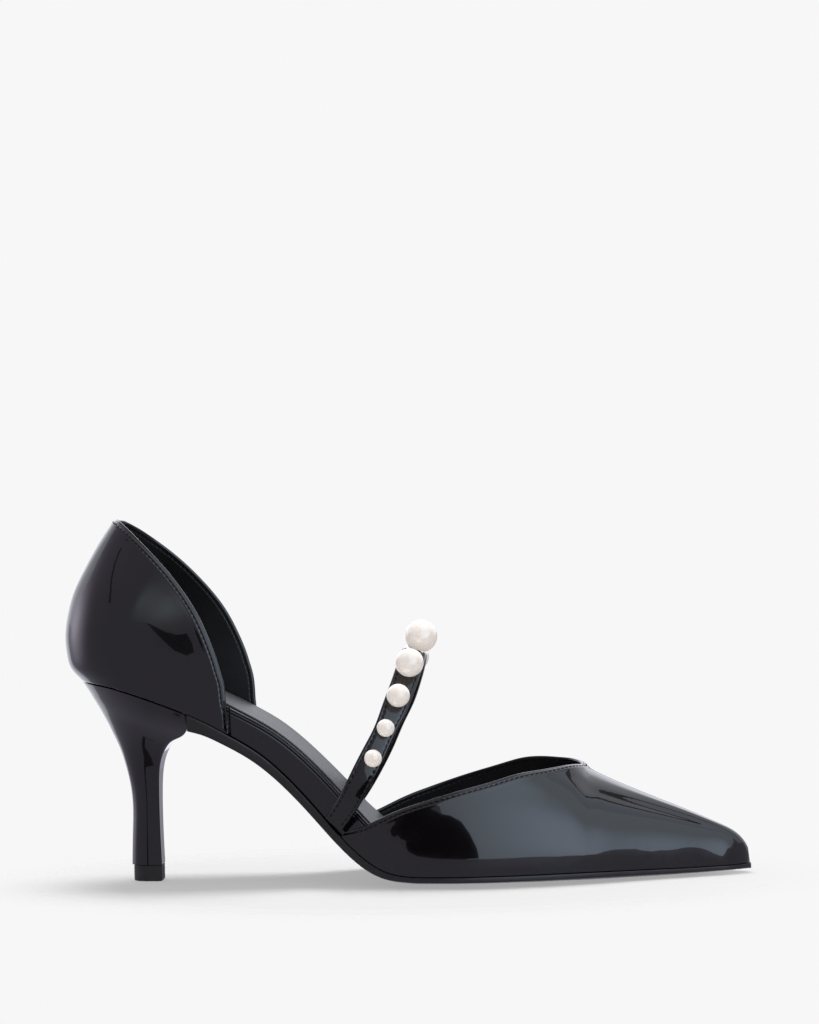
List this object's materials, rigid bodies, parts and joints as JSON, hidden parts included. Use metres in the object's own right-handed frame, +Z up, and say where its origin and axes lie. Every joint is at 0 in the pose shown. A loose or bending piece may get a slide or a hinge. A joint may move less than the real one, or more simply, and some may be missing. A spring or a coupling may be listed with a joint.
{
  "type": "two-part pump",
  "caption": "Right pointed pump in two parts on a slim high heel, with an open waist, a peaked heel counter and a narrow instep strap set with graduated round pearls.",
  "frame": {"origin": "middle of the heel tip's face on the floor", "axes": "+X along the shoe towards the toe, +Y towards the inner side of the foot, +Z up from the floor"},
  "size_m": [0.2434, 0.0768, 0.13],
  "materials": {
    "patent_leather": "patent, high gloss",
    "sole_leather": "satin",
    "sock_leather": "satin",
    "tip_rubber": "matte",
    "pearl": "pearl lacquer"
  },
  "bodies": {
    "root": {"outsole": "sole_leather", "heel": "patent_leather", "heel_tip": "tip_rubber", "insole": "patent_leather", "sock_lining": "sock_leather", "vamp": "patent_leather", "counter": "patent_leather", "strap": "patent_leather", "pearl_center": "pearl", "pearl_outer_1": "pearl", "pearl_outer_2": "pearl", "pearl_outer_3": "pearl", "pearl_outer_4": "pearl", "pearl_inner_1": "pearl", "pearl_inner_2": "pearl", "pearl_inner_3": "pearl", "pearl_inner_4": "pearl"}
  },
  "joints": []
}
